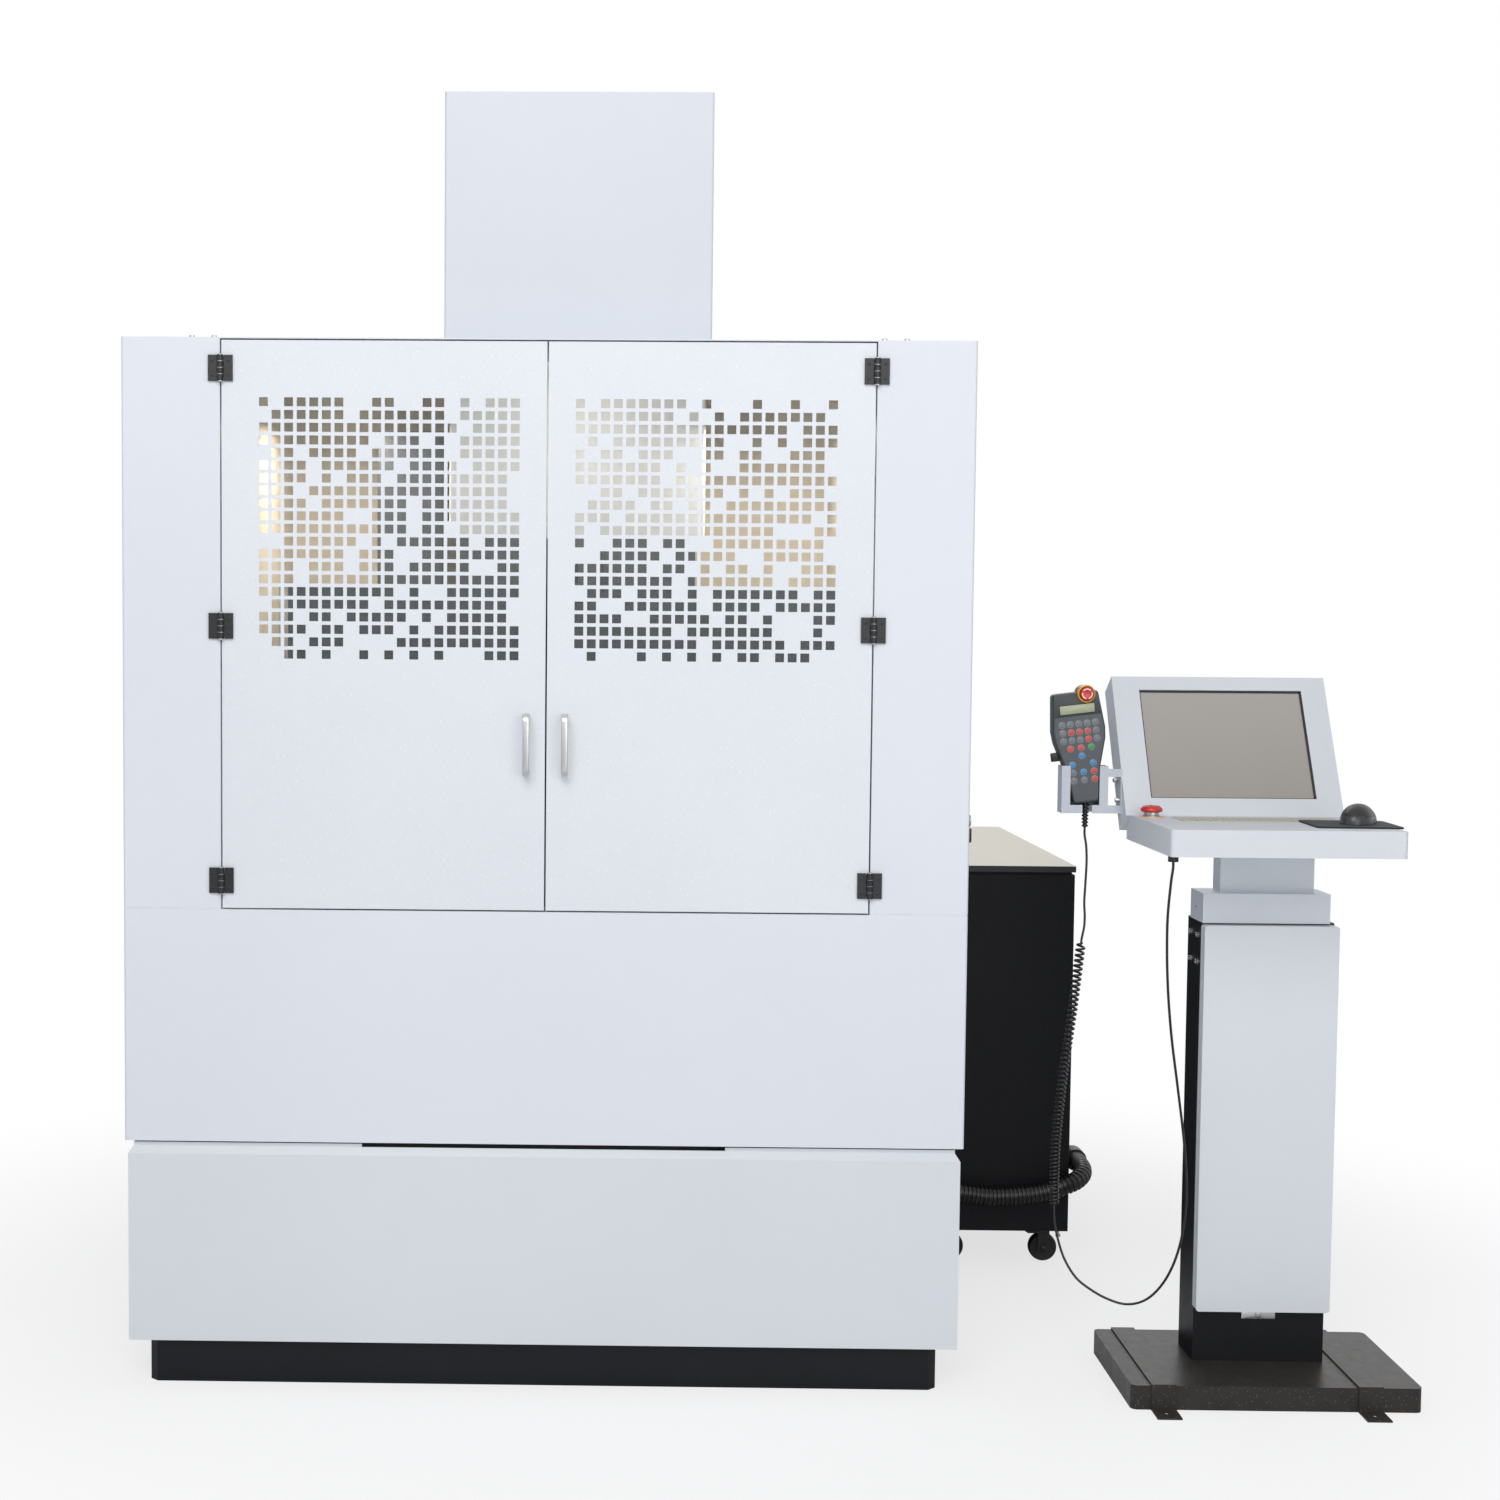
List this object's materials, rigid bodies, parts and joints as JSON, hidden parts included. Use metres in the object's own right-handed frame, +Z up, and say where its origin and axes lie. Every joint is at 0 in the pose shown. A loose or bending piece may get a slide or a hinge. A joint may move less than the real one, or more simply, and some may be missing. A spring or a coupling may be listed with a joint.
{
  "type": "wire edm machine",
  "caption": "Wire-cutting spark erosion machine: tall white enclosure with two pierced swing doors and a column cover, a low black cabinet on casters beside it and a screen console on a post.",
  "frame": {"origin": "on the floor under the middle of the enclosure", "axes": "+Z up, the enclosure's doors face -Y, +X to the right seen from the front"},
  "size_m": [2.34, 2.018, 2.472],
  "materials": {
    "white": "satin",
    "lower_white": "satin",
    "grey": "textured",
    "black": "textured",
    "dark": "satin",
    "plate": "satin",
    "tan": "satin",
    "iron": "machined",
    "aluminium": "satin",
    "steel": "brushed",
    "lid": "matte",
    "wire": "polished",
    "glass": "clear",
    "screen": "gloss",
    "keys": "matte",
    "black_plastic": "matte",
    "red": "satin",
    "handset": "matte",
    "rubber": "matte"
  },
  "bodies": {
    "machine": {"plinth": "dark", "bed": "iron", "lower_cover": "lower_white", "middle_cover": "white", "left_side_panel": "white", "right_side_panel": "white", "roof_panel": "white", "rear_panel": "white", "column_cover": "white", "chamber_liner": "tan", "frame_hinges": "black", "column": "iron", "lower_arm": "dark", "wire": "wire", "tension_housing": "dark", "cabinet_body": "black", "cabinet_lid": "lid", "caster_mounts": "black", "conduit": "black_plastic", "cable_glands": "black_plastic", "base_plate": "plate", "post": "dark", "post_cover": "lower_white", "neck": "grey", "console_shell": "grey", "screen": "screen", "keyboard": "keys", "mouse_pad": "rubber", "handset_holder": "grey", "cord_top": "rubber", "cord_curls": "rubber", "cord_tail": "rubber"},
    "left_door_body": {"left_door": "white", "left_window": "glass", "left_door_hinges": "black", "left_handle": "aluminium"},
    "right_door_body": {"right_door": "white", "right_window": "glass", "right_door_hinges": "black", "right_handle": "aluminium"},
    "splash_guard_body": {"splash_guard": "dark"},
    "saddle_body": {"saddle": "iron"},
    "table_body": {"worktable": "steel"},
    "head_body": {"head": "aluminium", "upper_arm": "dark"},
    "upper_pulley_body": {"upper_pulley": "steel"},
    "lower_pulley_body": {"lower_pulley": "steel"},
    "carriage_body": {"drum_carriage": "iron"},
    "drum_body": {"wire_drum": "aluminium"},
    "left_fork_body": {"left_caster_fork": "black"},
    "right_fork_body": {"right_caster_fork": "black"},
    "front_left_wheel_body": {"front_left_wheel": "rubber"},
    "front_right_wheel_body": {"front_right_wheel": "rubber"},
    "rear_left_wheel_body": {"rear_left_wheel": "rubber"},
    "rear_right_wheel_body": {"rear_right_wheel": "rubber"},
    "stop_button_body": {"stop_button": "red"},
    "mouse_body": {"mouse": "black_plastic"},
    "handset_body": {"handset": "handset", "handset_keypad": "keys"},
    "handset_stop_body": {"handset_stop": "red"}
  },
  "joints": [
    {"name": "left_door_hinge", "type": "hinge", "parent": "machine", "child": "left_door_body", "pos_m": [-0.5845, -0.8064, 1.388], "axis": [0, 0, -1], "range_deg": [0, 110]},
    {"name": "right_door_hinge", "type": "hinge", "parent": "machine", "child": "right_door_body", "pos_m": [0.5845, -0.8064, 1.388], "axis": [0, 0, 1], "range_deg": [0, 110]},
    {"name": "splash_guard_lift", "type": "slide", "parent": "machine", "child": "splash_guard_body", "axis": [0, 0, 1], "range_m": [0, 0.4]},
    {"name": "saddle_slide", "type": "slide", "parent": "machine", "child": "saddle_body", "axis": [0, 1, 0], "range_m": [-0.12, 0.12]},
    {"name": "table_slide", "type": "slide", "parent": "saddle_body", "child": "table_body", "axis": [1, 0, 0], "range_m": [-0.2, 0.19]},
    {"name": "head_lift", "type": "slide", "parent": "machine", "child": "head_body", "axis": [0, 0, 1], "range_m": [-0.4, 0.3], "deforming": ["wire"]},
    {"name": "upper_pulley_spin", "type": "hinge", "parent": "head_body", "child": "upper_pulley_body", "pos_m": [0.043, -0.276, 1.507], "axis": [1, 0, 0], "continuous": true},
    {"name": "lower_pulley_spin", "type": "hinge", "parent": "machine", "child": "lower_pulley_body", "pos_m": [0.043, -0.276, 0.901], "axis": [1, 0, 0], "continuous": true},
    {"name": "carriage_slide", "type": "slide", "parent": "machine", "child": "carriage_body", "axis": [1, 0, 0], "range_m": [-0.03, 0.03]},
    {"name": "drum_spin", "type": "hinge", "parent": "carriage_body", "child": "drum_body", "pos_m": [0.043, 0.5, 0.7283], "axis": [1, 0, 0], "range_deg": [-36000, 36000]},
    {"name": "left_caster_swivel", "type": "hinge", "parent": "machine", "child": "left_fork_body", "pos_m": [0.852, 0.105, 0.06], "axis": [0, 0, 1], "continuous": true},
    {"name": "right_caster_swivel", "type": "hinge", "parent": "machine", "child": "right_fork_body", "pos_m": [1.058, 0.105, 0.06], "axis": [0, 0, 1], "continuous": true},
    {"name": "front_left_wheel_roll", "type": "hinge", "parent": "left_fork_body", "child": "front_left_wheel_body", "pos_m": [0.874, 0.105, 0.031], "axis": [0, 1, 0], "continuous": true},
    {"name": "front_right_wheel_roll", "type": "hinge", "parent": "right_fork_body", "child": "front_right_wheel_body", "pos_m": [1.08, 0.105, 0.031], "axis": [0, 1, 0], "continuous": true},
    {"name": "rear_left_wheel_roll", "type": "hinge", "parent": "machine", "child": "rear_left_wheel_body", "pos_m": [0.852, 0.934, 0.031], "axis": [1, 0, 0], "continuous": true},
    {"name": "rear_right_wheel_roll", "type": "hinge", "parent": "machine", "child": "rear_right_wheel_body", "pos_m": [1.058, 0.934, 0.031], "axis": [1, 0, 0], "continuous": true},
    {"name": "stop_button_press", "type": "slide", "parent": "machine", "child": "stop_button_body", "axis": [0, 0, -1], "range_m": [0, 0.005], "stiffness_N_per_m": 300},
    {"name": "mouse_lift", "type": "slide", "parent": "machine", "child": "mouse_body", "axis": [0, 0, 1], "range_m": [0, 0.12]},
    {"name": "handset_lift", "type": "slide", "parent": "machine", "child": "handset_body", "axis": [0, 0, 1], "range_m": [0, 0.12]},
    {"name": "handset_stop_press", "type": "slide", "parent": "handset_body", "child": "handset_stop_body", "axis": [0, 1, 0], "range_m": [0, 0.005], "stiffness_N_per_m": 300}
  ],
  "couplings": [
    {"joint": "carriage_slide", "follows": "drum_spin", "m_per_rad": 0.000047746}
  ]
}
